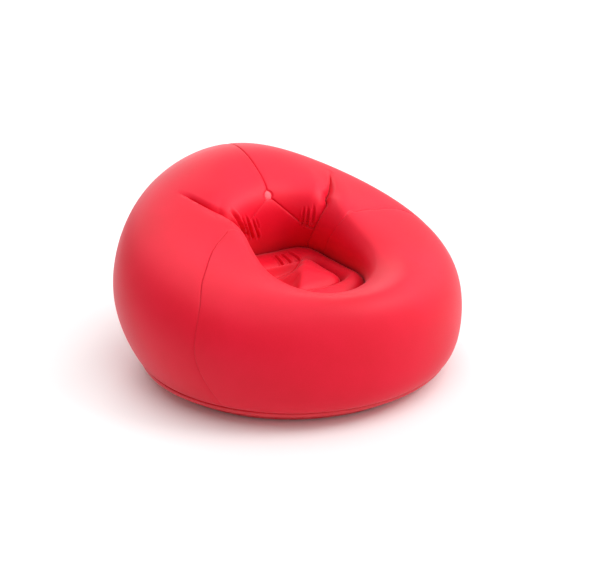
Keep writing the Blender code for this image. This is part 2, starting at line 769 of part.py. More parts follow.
# the cap's own origin goes to its hinge
cap.data.transform(cap_local)
cap.parent = cap_frame
cap.matrix_parent_inverse = Matrix.Identity(4)
cap.location, cap.rotation_euler = (0, 0, 0), (0, 0, 0)
cap.matrix_basis = Matrix.Identity(4)

# non-return flap, hinged at its edge behind the bore
flap_frame = empty("flap_hinge", valve_frame)
FLAP_Z = H0 - PLUG_DEEP - 0.0004
flap_frame.location = (-FLAP_R, 0, FLAP_Z)
turned(
    "check_flap",
    [(0.0, 0.0), (FLAP_R, 0.0), (FLAP_R, -FLAP_T), (0.0, -FLAP_T)],
    (0.75, 0.76, 0.78),
    0.5,
    flap_frame,
    closed=False,
    steps=20,
).location = (FLAP_R, 0, 0)

# retaining ring round the plug's neck, its tab welded to the flange
ring_with_tab(
    "plug_tether", SEAL_OUT + 0.0030, SEAL_OUT + 0.0006, 0.0040, FLANGE_R - 0.0024, TETHER_T, valve_frame, F1 + 0.0003
)
bpy.context.view_layer.update()
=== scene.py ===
import json
import math

import bmesh
import bpy
import numpy as np
from mathutils import Matrix, Vector

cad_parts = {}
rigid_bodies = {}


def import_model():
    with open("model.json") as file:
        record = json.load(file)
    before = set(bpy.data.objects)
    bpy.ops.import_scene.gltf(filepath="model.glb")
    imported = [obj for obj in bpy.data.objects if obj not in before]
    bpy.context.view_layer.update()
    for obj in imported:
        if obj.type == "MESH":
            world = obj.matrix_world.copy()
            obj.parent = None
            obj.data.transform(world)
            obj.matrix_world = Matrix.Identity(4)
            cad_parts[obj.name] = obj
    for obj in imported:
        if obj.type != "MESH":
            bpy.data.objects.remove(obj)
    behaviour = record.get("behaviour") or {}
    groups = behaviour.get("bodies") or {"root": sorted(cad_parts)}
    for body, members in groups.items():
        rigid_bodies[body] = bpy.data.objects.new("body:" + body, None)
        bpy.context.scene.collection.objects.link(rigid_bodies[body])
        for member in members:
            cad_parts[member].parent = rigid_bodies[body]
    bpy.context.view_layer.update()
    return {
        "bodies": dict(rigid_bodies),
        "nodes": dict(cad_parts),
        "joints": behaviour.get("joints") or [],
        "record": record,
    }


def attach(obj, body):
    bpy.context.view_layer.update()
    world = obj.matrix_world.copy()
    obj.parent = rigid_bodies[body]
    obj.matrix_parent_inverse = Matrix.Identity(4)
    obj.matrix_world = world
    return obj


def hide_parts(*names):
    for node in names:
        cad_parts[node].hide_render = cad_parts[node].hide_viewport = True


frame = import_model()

NODES = frame["nodes"]
BODY = "chair"

# ------------------------------------------------------------------ surface
# The same master surface as the CAD part, in the same frame.
BODY_RINGS = (
    ("base_weld", 0.481, 0.457, -0.032, -0.003, 0.034, 0.034, 0.034, 2.0, 2.0),
    ("low", 0.513, 0.491, -0.029, -0.002, 0.086, 0.086, 0.073, 2.0, 2.0),
    ("bulge", 0.5495, 0.510, -0.001, -0.002, 0.294, 0.241, 0.165, 2.0, 2.0),
    ("upper", 0.470, 0.501, -0.0075, 0.011, 0.530, 0.389, 0.263, 2.0, 2.0),
    ("crest", 0.320, 0.3905, -0.0325, -0.001, 0.600, 0.420, 0.335, 2.0, 2.0),
    ("lip", 0.218, 0.267, -0.064, 0.000, 0.547, 0.415, 0.312, 2.3, 2.2),
    ("pull", 0.188, 0.2195, -0.086, 0.000, 0.481, 0.384, 0.302, 2.5, 2.3),
    ("wall", 0.168, 0.216, -0.076, 0.000, 0.375, 0.334, 0.283, 2.8, 2.4),
    ("foot", 0.193, 0.221, -0.004, 0.000, 0.236, 0.236, 0.236, 3.4, 3.4),
)
# what the tables below count the rings as; "pull" is the one that the button is on
RING_NO = (0.0, 1.0, 2.0, 3.0, 4.0, 5.0, 5.46, 6.0, 7.0)
BOLSTER_RINGS = (
    (0.1912, 0.2192, -0.004, 0.236, 3.4),
    (0.178, 0.203, -0.005, 0.254, 3.5),
    (0.156, 0.172, -0.011, 0.270, 3.5),
    (0.136, 0.132, -0.029, 0.261, 3.6),
    (0.126, 0.117, -0.036, 0.237, 3.8),
)
PILLOW_RINGS = (
    (0.1235, 0.1145, -0.036, 0.237, 3.8),
    (0.111, 0.102, -0.036, 0.259, 3.6),
    (0.070, 0.066, -0.036, 0.276, 3.0),
    (0.030, 0.029, -0.036, 0.280, 2.4),
)
PILLOW_TOP = (0.0, -0.036, 0.2815)
PILLOW_RIDGE = ((0.062, 0.035), (-0.040, -0.124))
# the same two forms as they look filled: corners fuller, facets flatter
BOLSTER_LOOK = (
    (0.1912, 0.2192, -0.004, 0.236, 3.4),
    (0.1850, 0.2120, -0.005, 0.2555, 3.7),
    (0.160, 0.178, -0.011, 0.2715, 4.0),
    (0.136, 0.132, -0.029, 0.261, 4.4),
    (0.126, 0.117, -0.036, 0.237, 3.8),
)
PILLOW_LOOK = (
    (0.1235, 0.1145, -0.036, 0.237, 3.8),
    (0.113, 0.104, -0.036, 0.2565, 4.2),
    (0.076, 0.070, -0.036, 0.2715, 4.6),
    (0.036, 0.033, -0.036, 0.2795, 4.0),
)
BASE_RINGS = (
    (0.4175, 0.3925, 0.000),
    (0.444, 0.420, 0.0055),
    (0.460, 0.436, 0.020),
    (0.4795, 0.4555, 0.0412),
)
# as it looks, the pull of the air turns the weld up this much further
WELD_LIFT = 0.010
DART_START = 3.85
DART_AT = (3.85, 4.1, 4.4, 4.65, 4.9, 5.2, 5.5, 5.75, 6.2, 7.0)
DART_ANGLE = (55.3, 57.4, 59.6, 60.3, 59.0, 55.3, 51.2, 49.3, 47.4, 45.0)
DART_DEPTH_AT = (3.85, 4.2, 4.6, 5.0, 5.3, 5.7, 6.2, 7.0)
DART_DEPTH = (0.0, 0.003, 0.014, 0.027, 0.027, 0.014, 0.005, 0.0)
DART_IN, DART_OUT = 0.110, 0.085
# the sharp nip along the dart's own line
NIP_AT = (3.85, 4.05, 4.4, 5.2, 5.9, 6.4, 7.0)
NIP = (0.0, 0.006, 0.012, 0.014, 0.010, 0.004, 0.0)
NIP_WIDE = 0.022
# the arm swells beside the dart, by ring number
ARM_AT = (4.8, 5.1, 5.4, 5.8, 6.3, 7.0)
ARM_SWELL = (0.0, 0.003, 0.014, 0.022, 0.014, 0.0)
ARM_SWELL_AT = 0.075
SEAM_AT = (0.0, 1.0, 2.0, 3.09, 3.45, 3.73, 4.04, 4.42, 4.84, 5.18, 6.0, 7.0)
SEAM_LEFT = (128.0, 127.0, 124.0, 117.0, 110.8, 105.7, 98.8, 91.2, 83.0, 75.2, 66.0, 62.0)
SEAM_RIGHT = (118.0, 115.5, 107.0, 94.0, 90.2, 88.8, 87.4, 85.6, 82.8, 77.3, 67.0, 62.0)
BUTTON_RING = 5.46
V_FOOT_RING = 6.09
TUFT_DEPTH, TUFT_REACH = 0.007, 0.035
BUTTON_R, BUTTON_SUNK, BUTTON_HIGH = 0.0150, 0.0030, 0.0042
VALVE_ANGLE, VALVE_RING, VALVE_FLAT = -28.0, 1.50, 0.040
VALVE_HOLE = 0.0208

# looks of the welds
GAP = 0.00025
FLANGE = 0.0035
GROOVE, GROOVE_W = 0.0028, 0.0027
SHOULDER, SHOULDER_W = 0.0009, 0.012


def squareness(phi, n):
    return (np.abs(np.sin(phi)) ** n + np.abs(np.cos(phi)) ** n) ** (-1.0 / n)


def body_ring(ring, phi):
    _, a, b, c, egg, zb, zs, zf, nb, nf = ring
    r = squareness(phi, nf + (nb - nf) * (0.5 + 0.5 * np.cos(phi)))
    second = (zb + zf - 2 * zs) / 4
    return np.stack(
        [
            a * np.sin(phi) * r,
            c + b * np.cos(phi) * r + egg * (np.cos(2 * phi) + 1),
            zs + second + (zb - zf) / 2 * np.cos(phi) + second * np.cos(2 * phi),
        ],
        -1,
    )


def flat_ring(ring, phi):
    a, b, c, z, n = ring
    r = squareness(phi, n)
    return np.stack([a * np.sin(phi) * r, c + b * np.cos(phi) * r, z + 0 * phi], -1)


def knots_of(rings, shape):
    phi = np.linspace(-math.pi, math.pi, 96, endpoint=False)
    stack = np.stack([shape(r, phi) for r in rings])
    step = np.linalg.norm(np.diff(stack, axis=0), axis=-1).mean(1)
    return np.r_[0, np.cumsum(np.sqrt(step))]


def spline(values, knots, t):
    """Natural cubic through values (rings, points, ...) at each point's own t."""
    k, n = values.shape[:2]
    h = np.diff(knots)
    system, right = np.zeros((k, k)), np.zeros(values.shape)
    system[0, 0] = system[-1, -1] = 1
    for i in range(1, k - 1):
        system[i, i - 1 : i + 2] = h[i - 1], 2 * (h[i - 1] + h[i]), h[i]
        right[i] = 6 * (
            (values[i + 1] - values[i]) / h[i] - (values[i] - values[i - 1]) / h[i - 1]
        )
    bend = np.linalg.solve(system, right.reshape(k, -1)).reshape(values.shape)
    i = np.clip(np.searchsorted(knots, t, side="right") - 1, 0, k - 2)
    j = np.arange(n)
    shape = (n,) + (1,) * (values.ndim - 2)
    b = ((t - knots[i]) / h[i]).reshape(shape)
    a = 1 - b
    return (
        a * values[i, j]
        + b * values[i + 1, j]
        + ((a**3 - a) * bend[i, j] + (b**3 - b) * bend[i + 1, j])
        * (h[i] ** 2).reshape(shape)
        / 6
    )


def curve(at, values, x):
    """Smooth curve through a short table, level beyond its ends."""
    at = np.array(at, float)
    x = np.clip(np.asarray(x, float), at[0], at[-1])
    table = np.array(values, float)[:, None]
    flat = x.ravel()
    return spline(np.repeat(table, flat.size, 1), at, flat).reshape(x.shape)


T_RING = knots_of(BODY_RINGS, body_ring)
T_END = T_RING[-1]


def t_of(ring_number):
    return np.interp(ring_number, RING_NO, T_RING)


def ring_of(t):
    return np.interp(t, T_RING, RING_NO)


def plain(phi, t):
    p = spline(np.stack([body_ring(r, phi) for r in BODY_RINGS]), T_RING, t)
    p[..., 2] += WELD_LIFT * (1 - smooth(ring_of(t), 0.0, 0.8))
    return p


def frame_at(phi, t, e=1e-3):
    """Outward normal and the lengths of a unit step in phi and in t."""
    lo, hi = np.maximum(t - e, 0), np.minimum(t + e, T_END)
    along = (plain(phi, hi) - plain(phi, lo)) / (hi - lo)[:, None]
    round_ = (plain(phi + e, t) - plain(phi - e, t)) / (2 * e)
    n = np.cross(along, round_)
    return (
        n / np.linalg.norm(n, axis=-1, keepdims=True),
        np.linalg.norm(round_, axis=-1),
        np.linalg.norm(along, axis=-1),
    )


def turn_of(phi):
    """The angle between -180 and 180 degrees."""
    return (phi + math.pi) % (2 * math.pi) - math.pi


def dart_angle(t):
    return np.radians(curve(DART_AT, DART_ANGLE, ring_of(t)))


def seam_angle(side, t):
    table = SEAM_LEFT if side < 0 else SEAM_RIGHT
    return np.radians(curve(SEAM_AT, table, ring_of(t)))


def v_seam(f):
    return t_of(BUTTON_RING + (V_FOOT_RING - BUTTON_RING) * np.abs(f) ** 0.8)


def smooth(x, a, b):
    k = np.clip((x - a) / (b - a), 0, 1)
    return k * k * (3 - 2 * k)


def creased(phi, t, frame=None):
    v = ring_of(t)
    normal, rr, _ = frame if frame else frame_at(phi, t)
    depth = np.clip(curve(DART_DEPTH_AT, DART_DEPTH, v), 0, 1)
    u = (np.abs(turn_of(phi)) - dart_angle(t)) * rr
    # as it looks, the backrest stays full up to its lip on the right, and the
    # right arm is flatter beside its dart than the left one
    right = turn_of(phi) > 0
    reach_in = np.where(right, DART_IN - 0.060 * smooth(v, 4.2, 5.2), DART_IN)
    fold = np.where(
        u < 0, np.clip(1 + u / reach_in, 0, 1) ** np.where(right, 2.0, 2.6), np.clip(1 - u / DART_OUT, 0, 1) ** 2.2
    )
    nip = np.clip(curve(NIP_AT, NIP, v), 0, 1) * np.clip(1 - np.abs(u) / NIP_WIDE, 0, 1) ** 2.0
    swell = np.clip(curve(ARM_AT, ARM_SWELL, v), 0, 1)
    swell = swell * np.where(right, 0.35, 0.85)
    nip = nip * np.where(right, 1 - 0.8 * smooth(v, 5.3, 5.9), 1.0)
    k = np.clip(u, 0, None) / ARM_SWELL_AT
    return plain(phi, t) + normal * (swell * k * np.exp(1 - k) - depth * fold - nip)[:, None]


ONE = np.array([0.0])
BUTTON = creased(ONE, ONE + t_of(BUTTON_RING))[0]
BUTTON_OUT = frame_at(ONE, ONE + t_of(BUTTON_RING))[0][0]
VALVE_PHI = ONE + math.radians(VALVE_ANGLE)
VALVE_T = ONE + t_of(VALVE_RING)
VALVE = plain(VALVE_PHI, VALVE_T)[0]
VALVE_OUT = frame_at(VALVE_PHI, VALVE_T)[0][0]


def pucker(phi, t, points, depth, width):
    """A pinched groove with a soft lip on each side, through points given as
    (degrees, ring number). It starts faint and is deepest near its end."""
    at = np.radians([p[0] for p in points])
    rings = t_of(np.array([p[1] for p in points]))
    _, rr, ss = frame_at(ONE + at.mean(), ONE + rings.mean())
    x, y = (phi - at[0]) * rr[0], (t - rings[0]) * ss[0]
    line = np.stack([(at - at[0]) * rr[0], (rings - rings[0]) * ss[0]], 1)
    return groove(x, y, line, depth, width)


def groove(x, y, line, depth, width, lead=0.45, close=0.12):
    """Profile of a groove along a line of points, all in metres."""
    run = np.r_[0, np.cumsum(np.hypot(*np.diff(line, axis=0).T))]
    best, along = np.full(x.shape, 9.0), np.zeros(x.shape)
    for a, b, start in zip(line[:-1], line[1:], run[:-1]):
        ex, ey = b - a
        size = math.hypot(ex, ey)
        k = np.clip(((x - a[0]) * ex + (y - a[1]) * ey) / size**2, 0, 1)
        far = np.hypot(x - a[0] - k * ex, y - a[1] - k * ey)
        nearer = far < best
        best, along = np.where(nearer, far, best), np.where(nearer, start + k * size, along)
    s = along / run[-1]
    taper = smooth(s, 0, lead) * smooth(s, 1, 1 - close)
    w = width * (0.7 + 0.3 * taper)
    lip = np.exp(-(((best - 1.9 * w) / (0.9 * w)) ** 2))
    return depth * taper * (0.45 * lip - np.exp(-((best / w) ** 2)))


# puckers where the backrest is gathered into the creases: points, depth, width
PUCKERS = (
    (((-47.2, 5.22), (-44.8, 5.415), (-41.6, 5.68), (-38.6, 5.81), (-34.5, 5.93), (-28.0, 6.10)), 0.0110, 0.0056),
    (((-35.8, 5.55), (-34.0, 5.78), (-27.2, 6.03), (-24.0, 6.12)), 0.0048, 0.0036),
    (((-31.8, 5.60), (-27.2, 5.82), (-22.5, 6.02), (-16.0, 6.275)), 0.0066, 0.0040),
    (((-23.2, 5.74), (-18.8, 5.90), (-12.0, 6.15), (-8.7, 6.315)), 0.0052, 0.0040),
    (((-17.8, 5.78), (-12.0, 6.035)), 0.0028, 0.0036),
    (((34.6, 5.60), (37.0, 5.915), (37.9, 6.06)), 0.0052, 0.0040),
    (((38.3, 5.57), (40.8, 5.90), (41.6, 6.06)), 0.0066, 0.0040),
    (((43.0, 5.50), (44.3, 5.75), (45.2, 5.98)), 0.0062, 0.0040),
)


def detail(phi, t, v, rr, ss):
    """How far the fabric stands out of (or sinks into) the plain shape."""
    out = np.zeros(phi.shape)
    near = np.full(phi.shape, 9.0)

    def seam(distance, gate):
        nonlocal near
        near = np.minimum(near, np.abs(distance) + (1 - gate) * 0.03)

    e = 1e-3
    seam(phi * rr, smooth(v, BUTTON_RING + 0.02, BUTTON_RING - 0.10))
    # the seams go slack on the inner walls, where the skin bulges over them
    well = 1 - 0.11 * smooth(v, 5.15, 5.7)
    for side in (-1, 1):
        slope = (seam_angle(side, t + e) - seam_angle(side, t - e)) / (2 * e)
        seam((side * phi - seam_angle(side, t)) * rr / np.hypot(1, slope * rr / ss), well)
        slope = (dart_angle(t + e) - dart_angle(t - e)) / (2 * e)
        gate = smooth(v, 3.85, 4.15) * (1 - 0.11 * smooth(v, 5.9, 6.2))
        seam((side * phi - dart_angle(t)) * rr / np.hypot(1, slope * rr / ss), gate)
    f = phi / dart_angle(t)
    inside = smooth(np.abs(f), 1.06, 1.0)
    slope = (V_FOOT_RING - BUTTON_RING) / np.maximum(dart_angle(t), 0.1) * 0.32
    leg = np.where(phi < 0, 0.90, 1.0)
    seam((t - v_seam(np.clip(f, -1, 1))) * ss / np.hypot(1, slope * ss / rr), inside * leg)
    seam(t * ss, 1.0)
    seam((T_END - t) * ss, 1.0)
    # air pulls the seams shallow on the round outer wall, and they bite deeper over the top
    pull = 1 - 0.62 * smooth(v, 0.3, 0.9) * smooth(v, 3.5, 2.8)
    pull = pull + 0.35 * smooth(v, 3.5, 3.9) * smooth(v, 5.3, 4.7)
    out -= pull * GROOVE * np.exp(-((near / GROOVE_W) ** 2)) + SHOULDER * np.exp(-((near / SHOULDER_W) ** 2))
    for points, depth, width in PUCKERS:
        out += pucker(phi, t, points, depth, width)
    return out


def skin(phi, t, drop=0.0):
    """The finished skin. drop sinks a point straight in, for the weld flanges."""
    phi, t, drop = np.broadcast_arrays(
        np.asarray(phi, float), np.asarray(t, float), np.asarray(drop, float)
    )
    shape = phi.shape
    phi, t, drop = phi.ravel(), t.ravel(), drop.ravel()
    v = ring_of(t)
    normal, rr, ss = frame_at(phi, t)
    p = creased(phi, t, (normal, rr, ss))
    far = np.linalg.norm(p - BUTTON, axis=-1)
    sunk = TUFT_DEPTH * np.exp(-far / TUFT_REACH)
    sunk = sunk + BUTTON_SUNK * (1 - smooth(far, BUTTON_R - 0.001, BUTTON_R + 0.003))
    p = p - BUTTON_OUT * ((v > 4.0) * sunk)[:, None]
    rel = p - VALVE
    away = np.linalg.norm(rel, axis=-1)
    flat = 1 - smooth(away, VALVE_FLAT, VALVE_FLAT + 0.022)
    p = p - VALVE_OUT * ((rel @ VALVE_OUT) * flat)[:, None]
    p = p + normal * (detail(phi, t, v, rr, ss) * (1 - flat) - drop)[:, None]
    return p.reshape(shape + (3,))


# ------------------------------------------------------------------ meshes
def graded(length, coarse, fine_start=None, fine_end=None, growth=0.22):
    """Fractions of a length whose steps grow from fine ends to coarse ones."""
    s = np.linspace(0, length, 4000)
    step = np.full(s.shape, coarse) if np.isscalar(coarse) else coarse(s / length)
    if fine_start:
        step = np.minimum(step, fine_start + s * growth)
    if fine_end:
        step = np.minimum(step, fine_end + (length - s) * growth)
    count = np.r_[0, np.cumsum((1 / step[1:] + 1 / step[:-1]) / 2 * np.diff(s))]
    n = max(2, int(round(count[-1])))
    return np.interp(np.linspace(0, count[-1], n + 1), count, s) / length


def make_object(name, mesh, mat):
    obj = bpy.data.objects.new(name, mesh)
    bpy.context.scene.collection.objects.link(obj)
    obj.data.materials.append(mat)
    return obj


def sheets(name, grids, mat, closed=False, tip=None):
    """One mesh of grids (rows, columns, 3) whose shared points are made one."""
    points, quads, tris, base = [], [], [], 0
    for grid in grids:
        rows, cols = grid.shape[:2]
        index = base + np.arange(rows * cols).reshape(rows, cols)
        if closed:
            index = np.concatenate([index, index[:, :1]], 1)
        quads.append(
            np.stack([index[:-1, :-1], index[1:, :-1], index[1:, 1:], index[:-1, 1:]], -1).reshape(-1, 4)
        )
        points.append(grid.reshape(-1, 3))
        if tip is not None:
            last = index[-1]
            base_tip = base + rows * cols
            points.append(np.array([tip], float))
            tris.append(np.stack([np.full(len(last) - 1, base_tip), last[1:], last[:-1]], -1))
            base += 1
        base += rows * cols
    points = np.concatenate(points)
    quads = np.concatenate(quads)
    key = np.round(points / 2e-6).astype(np.int64)
    _, first, back = np.unique(key, axis=0, return_index=True, return_inverse=True)
    back = back.reshape(-1)
    faces = [tuple(dict.fromkeys(q)) for q in back[quads].tolist()]
    for t in tris:
        faces += [tuple(dict.fromkeys(q)) for q in back[t].tolist()]
    faces = [f for f in faces if len(f) > 2]
    mesh = bpy.data.meshes.new(name)
    mesh.from_pydata(points[first].tolist(), [], faces)
    mesh.validate()
    mesh.shade_smooth()
    return make_object(name, mesh, mat)


def flanged(x, first, last):
    """Repeats the ends of a row of values, with how far each repeat sinks in."""
    drop = np.zeros(len(x))
    if first:
        x, drop = np.r_[x[:1], x[:1], x], np.r_[FLANGE, FLANGE * 0.4, drop]
    if last:
        x, drop = np.r_[x, x[-1:], x[-1:]], np.r_[drop, FLANGE * 0.4, FLANGE]
    return x, drop


# ------------------------------------------------------------------ panels
DART_T = float(t_of(DART_START))
VFOOT_T = float(t_of(V_FOOT_RING))
SPEED_T = 0.55
G_T = GAP / SPEED_T
WELD_T = 0.0012 / 0.42

ROWS_LOW = WELD_T + graded(0.80, lambda s: 0.0085 - 0.004 * s, 0.0009) * (DART_T - WELD_T)
ROWS_BACK = graded(0.33, lambda s: 0.0036 - 0.0016 * smooth(s, 0.55, 0.70), None, 0.0008)
ROWS_LOWER = graded(0.17, lambda s: 0.0020 + 0.0014 * smooth(s, 0.25, 0.5), 0.0008, 0.0010)
ROWS_HIGH = np.r_[DART_T + ROWS_BACK * (VFOOT_T - DART_T), VFOOT_T + ROWS_LOWER[1:] * (T_END - VFOOT_T)]
COLS_BACK = graded(0.34, lambda s: 0.0040 - 0.0020 * smooth(s, 0.12, 0.3), 0.0008, 0.0008)
COLS_ARM = graded(0.36, 0.0048, 0.0008, 0.0008)
COLS_FRONT = graded(0.80, 0.0065, 0.0008, 0.0008)


def angle_gap(phi, t):
    p = plain(np.ravel(phi), np.ravel(t))
    return GAP / np.maximum(np.hypot(p[:, 0], p[:, 1] + 0.03), 0.12).reshape(np.shape(phi))


def rear_panel(side):
    out = []
    # below the dart: backrest and arm in one
    rows, row_drop = flanged(ROWS_LOW, True, False)
    back, back_drop = flanged(COLS_BACK, True, False)
    arm, arm_drop = flanged(COLS_ARM, False, True)
    t = rows[:, None] + 0 * back[None, :]
    phi = back[None, :] * dart_angle(t)
    phi = np.maximum(phi, angle_gap(phi, t))
    out.append((phi, t, row_drop[:, None] + back_drop[None, :]))
    t = rows[:, None] + 0 * arm[None, :]
    first, last = dart_angle(t), seam_angle(side, t)
    out.append((first + (last - angle_gap(last, t) - first) * arm[None, :], t, row_drop[:, None] + arm_drop[None, :]))
    # behind the dart, down to the V
    back, back_drop = flanged(COLS_BACK, True, True)
    s, s_drop = flanged(ROWS_BACK, False, True)
    f = back[None, :] + 0 * s[:, None]
    t = DART_T + s[:, None] * (v_seam(f) - G_T - DART_T)
    phi = f * dart_angle(t)
    gap = angle_gap(phi, t) * smooth(t, DART_T, DART_T + 0.03)
    phi = np.minimum(np.maximum(phi, angle_gap(phi, t)), dart_angle(t) - gap)
    drop = s_drop[:, None] + back_drop[None, :] * smooth(t, DART_T, DART_T + 0.05)
    drop[0] = np.where(np.arange(len(back)) < 2, back_drop, 0)
    out.append((phi, t, drop))
    # the arm beside the dart, down to the foot
    arm, arm_drop = flanged(COLS_ARM, True, True)
    rows, row_drop = flanged(ROWS_HIGH, False, True)
    rows = np.minimum(rows, T_END - G_T)
    t = rows[:, None] + 0 * arm[None, :]
    gap = angle_gap(dart_angle(t), t) * smooth(t, DART_T, DART_T + 0.03)
    first, last = dart_angle(t) + gap, seam_angle(side, t) - angle_gap(seam_angle(side, t), t)
    fade = np.where(np.arange(len(arm)) < 2, 1, 0)[None, :]
    drop = row_drop[:, None] + arm_drop[None, :] * (1 - fade + fade * smooth(t, DART_T, DART_T + 0.05))
    out.append((first + (last - first) * arm[None, :], t, drop))
    grids = [skin(side * p, tt, d) for p, tt, d in out]
    return grids if side > 0 else [g[:, ::-1] for g in grids]


def lower_back():
    f, f_drop = flanged(np.r_[-COLS_BACK[::-1], COLS_BACK[1:]], True, True)
    s, s_drop = flanged(ROWS_LOWER, True, True)
    start = v_seam(f[None, :]) + G_T
    t = start + s[:, None] * (T_END - G_T - start)
    phi = f[None, :] * dart_angle(t)
    limit = dart_angle(t) - angle_gap(phi, t)
    return [skin(np.clip(phi, -limit, limit), t, s_drop[:, None] + f_drop[None, :])]


def front():
    out = []
    cols, col_drop = flanged(COLS_FRONT, True, True)
    for rows, row_drop in (flanged(ROWS_LOW, True, False), flanged(ROWS_HIGH, False, True)):
        rows = np.minimum(rows, T_END - G_T)
        t = rows[:, None] + 0 * cols[None, :]
        first, last = seam_angle(1, t), 2 * math.pi - seam_angle(-1, t)
        gap = angle_gap(first, t)
        first, last = first + gap, last - gap
        out.append(skin(first + (last - first) * cols[None, :], t, row_drop[:, None] + col_drop[None, :]))
    return out


# ------------------------------------------------------------------ materials
def nodes_of(mat):
    mat.use_nodes = True
    tree = mat.node_tree
    return tree, tree.nodes["Principled BSDF"]


def link(tree, a, b):
    tree.links.new(a, b)


def node(tree, kind, **inputs):
    n = tree.nodes.new(kind)
    for key, value in inputs.items():
        n.inputs[key].default_value = value
    return n


def noise(tree, coords, scale, detail_=2.0, rough=0.5):
    n = node(tree, "ShaderNodeTexNoise", Scale=scale, Detail=detail_, Roughness=rough)
    link(tree, coords, n.inputs["Vector"])
    return n.outputs["Fac"]


def mapped(tree, value, lo, hi, from_lo=0.3, from_hi=0.7):
    n = tree.nodes.new("ShaderNodeMapRange")
    n.inputs["From Min"].default_value = from_lo
    n.inputs["From Max"].default_value = from_hi
    n.inputs["To Min"].default_value = lo
    n.inputs["To Max"].default_value = hi
    link(tree, value, n.inputs["Value"])
    return n.outputs["Result"]


def math_node(tree, operation, a, b):
    n = tree.nodes.new("ShaderNodeMath")
    n.operation = operation
    for socket, value in zip(n.inputs, (a, b)):
        if isinstance(value, (int, float)):
            socket.default_value = value
        else:
            link(tree, value, socket)
    return n.outputs["Value"]


def ramp(tree, value, *stops):
    n = tree.nodes.new("ShaderNodeValToRGB")
    n.color_ramp.interpolation = "B_SPLINE"
    while len(n.color_ramp.elements) < len(stops):
        n.color_ramp.elements.new(0.5)
    for element, (at, colour) in zip(n.color_ramp.elements, stops):
        element.position = at
        element.color = (*colour, 1)
    link(tree, value, n.inputs["Fac"])
    return n.outputs["Color"]


def flock(name, low, mid, high, sheen=0.13, tint=(1.0, 0.75, 0.85, 1)):
    """Short velvety nap on vinyl: fine fibres, brushed patches, a soft sheen."""
    mat = bpy.data.materials.new(name)
    tree, bsdf = nodes_of(mat)
    where = tree.nodes.new("ShaderNodeTexCoord").outputs["Object"]
    patches = noise(tree, where, 6.0, 3.0, 0.55)
    nap = noise(tree, where, 420.0, 2.0, 0.6)
    fibre = noise(tree, where, 1600.0, 2.0, 0.6)
    mix = math_node(tree, "ADD", math_node(tree, "MULTIPLY", patches, 0.55), math_node(tree, "MULTIPLY", nap, 0.45))
    link(tree, ramp(tree, mix, (0.36, low), (0.50, mid), (0.64, high)), bsdf.inputs["Base Color"])
    link(tree, mapped(tree, nap, 0.47, 0.55), bsdf.inputs["Roughness"])
    bsdf.inputs["Specular IOR Level"].default_value = 0.32
    bsdf.inputs["Specular Tint"].default_value = (1.0, 0.80, 0.90, 1)
    bsdf.inputs["Sheen Weight"].default_value = sheen
    bsdf.inputs["Sheen Roughness"].default_value = 0.40
    bsdf.inputs["Sheen Tint"].default_value = tint
    height = math_node(tree, "ADD", math_node(tree, "MULTIPLY", nap, 0.6), math_node(tree, "MULTIPLY", fibre, 0.4))
    bump = node(tree, "ShaderNodeBump", Strength=0.25, Distance=0.0006)
    link(tree, height, bump.inputs["Height"])
    link(tree, bump.outputs["Normal"], bsdf.inputs["Normal"])
    return mat


def vinyl(name, low, high, rough=0.38, scale=60.0, coat=0.1):
    """Smooth calendered vinyl with a faint grain."""
    mat = bpy.data.materials.new(name)
    tree, bsdf = nodes_of(mat)
    where = tree.nodes.new("ShaderNodeTexCoord").outputs["Object"]
    soft = noise(tree, where, 9.0, 3.0, 0.5)
    grain = noise(tree, where, scale * 12, 3.0, 0.6)
    link(tree, ramp(tree, soft, (0.3, low), (0.7, high)), bsdf.inputs["Base Color"])
    link(tree, mapped(tree, grain, rough - 0.06, rough + 0.10), bsdf.inputs["Roughness"])
    bsdf.inputs["Coat Weight"].default_value = coat
    bsdf.inputs["Coat Roughness"].default_value = 0.35
    bump = node(tree, "ShaderNodeBump", Strength=0.18, Distance=0.0004)
    link(tree, grain, bump.inputs["Height"])
    link(tree, bump.outputs["Normal"], bsdf.inputs["Normal"])
    return mat


def plastic(name, low, high, rough, transmission=0.0, grain_scale=900.0):
    mat = bpy.data.materials.new(name)
    tree, bsdf = nodes_of(mat)
    where = tree.nodes.new("ShaderNodeTexCoord").outputs["Object"]
    soft = noise(tree, where, 70.0, 3.0, 0.5)
    grain = noise(tree, where, grain_scale, 2.0, 0.5)
    link(tree, ramp(tree, soft, (0.3, low), (0.7, high)), bsdf.inputs["Base Color"])
    link(tree, mapped(tree, grain, rough - 0.05, rough + 0.08), bsdf.inputs["Roughness"])
    bsdf.inputs["Subsurface Weight"].default_value = 0.25
    bsdf.inputs["Subsurface Radius"].default_value = (0.004, 0.004, 0.004)
    bsdf.inputs["Subsurface Scale"].default_value = 1.0
    bump = node(tree, "ShaderNodeBump", Strength=0.12, Distance=0.0002)
    link(tree, grain, bump.inputs["Height"])
    link(tree, bump.outputs["Normal"], bsdf.inputs["Normal"])
    return mat


RED = flock("flocked_red", (0.650, 0.0009, 0.0152), (0.688, 0.0014, 0.0195), (0.720, 0.0024, 0.0247))
UNDER = vinyl("smooth_red_vinyl", (0.62, 0.004, 0.018), (0.72, 0.007, 0.026))
# the button's base colour is painted sheen: pale pink, far lighter and pinker than the body's red, standing in for
# the sheen highlight on the disc
BUTTON_PAINTED_SHEEN_MAT = flock("button_painted_sheen_pink", (0.88, 0.090, 0.115), (0.93, 0.120, 0.145), (0.96, 0.150, 0.175), 0.6)
INNER = vinyl("inner_vinyl", (0.52, 0.004, 0.018), (0.62, 0.007, 0.024), 0.5)
CLEAR = plastic("valve_plastic", (0.62, 0.62, 0.60), (0.74, 0.74, 0.72), 0.32)
RUBBER = plastic("seal_rubber", (0.022, 0.022, 0.024), (0.045, 0.045, 0.048), 0.62)
FILM = plastic("flap_film", (0.58, 0.59, 0.62), (0.70, 0.71, 0.73), 0.25)

